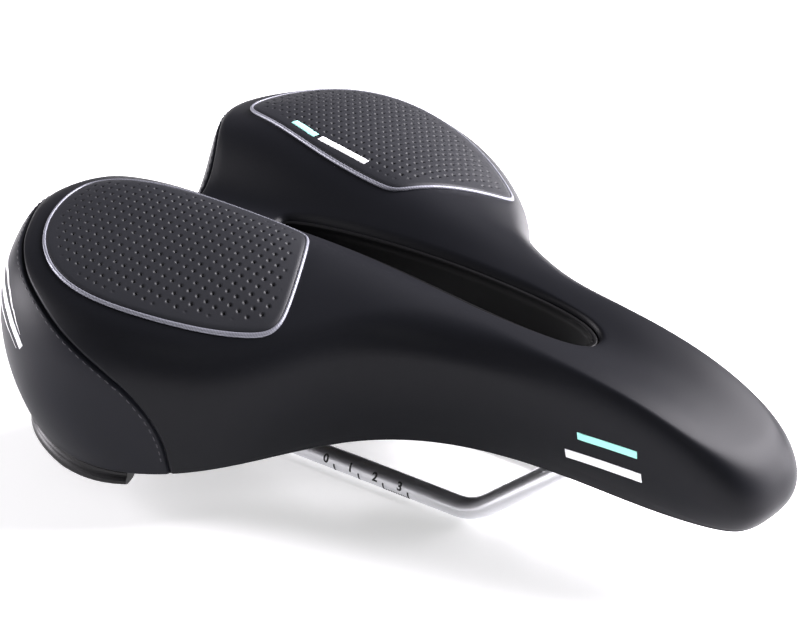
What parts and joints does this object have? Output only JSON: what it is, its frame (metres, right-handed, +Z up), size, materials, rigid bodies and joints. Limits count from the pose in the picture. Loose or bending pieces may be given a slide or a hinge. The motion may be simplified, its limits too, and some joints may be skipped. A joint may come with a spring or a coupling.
{
  "type": "bicycle saddle",
  "caption": "Padded touring bicycle saddle with two raised rear lobes, a long relief channel, textured seat panels and a pair of round steel rails.",
  "frame": {"origin": "midway between the two rails' centre lines, at the middle of the straight stretch that a seatpost clamp grips", "axes": "+X towards the nose (the bicycle's front), +Y to the rider's left, +Z up"},
  "size_m": [0.2575, 0.1996, 0.0852],
  "materials": {
    "cover": "matte soft-touch synthetic leather, moulded smooth",
    "rear_cover": "matte soft-touch synthetic leather, moulded smooth",
    "foam": "open-cell polyurethane foam",
    "gel": "clear soft gel",
    "panel": "embossed synthetic microfibre",
    "piping": "silver coated piping",
    "liner": "matte black moulded plastic",
    "shell": "matte black moulded polypropylene",
    "rail_steel": "satin nickel-plated steel wire",
    "socket": "glass-filled nylon, moulded",
    "guard": "satin black moulded plastic",
    "staple_steel": "galvanised steel wire",
    "screw_steel": "zinc-plated steel"
  },
  "bodies": {
    "root": {"front_cover": "cover", "rear_cover": "rear_cover", "cover_fold": "cover", "foam_core": "foam", "gel_insert_left": "gel", "gel_insert_right": "gel", "seat_panel_left": "panel", "seat_panel_right": "panel", "panel_piping_left": "piping", "panel_piping_right": "piping", "channel_liner": "liner", "base_shell": "shell", "rail_left": "rail_steel", "rail_right": "rail_steel", "nose_block": "socket", "rear_socket_left": "socket", "rear_socket_right": "socket", "rear_guard": "guard", "staples": "staple_steel", "screws": "screw_steel"}
  },
  "joints": []
}
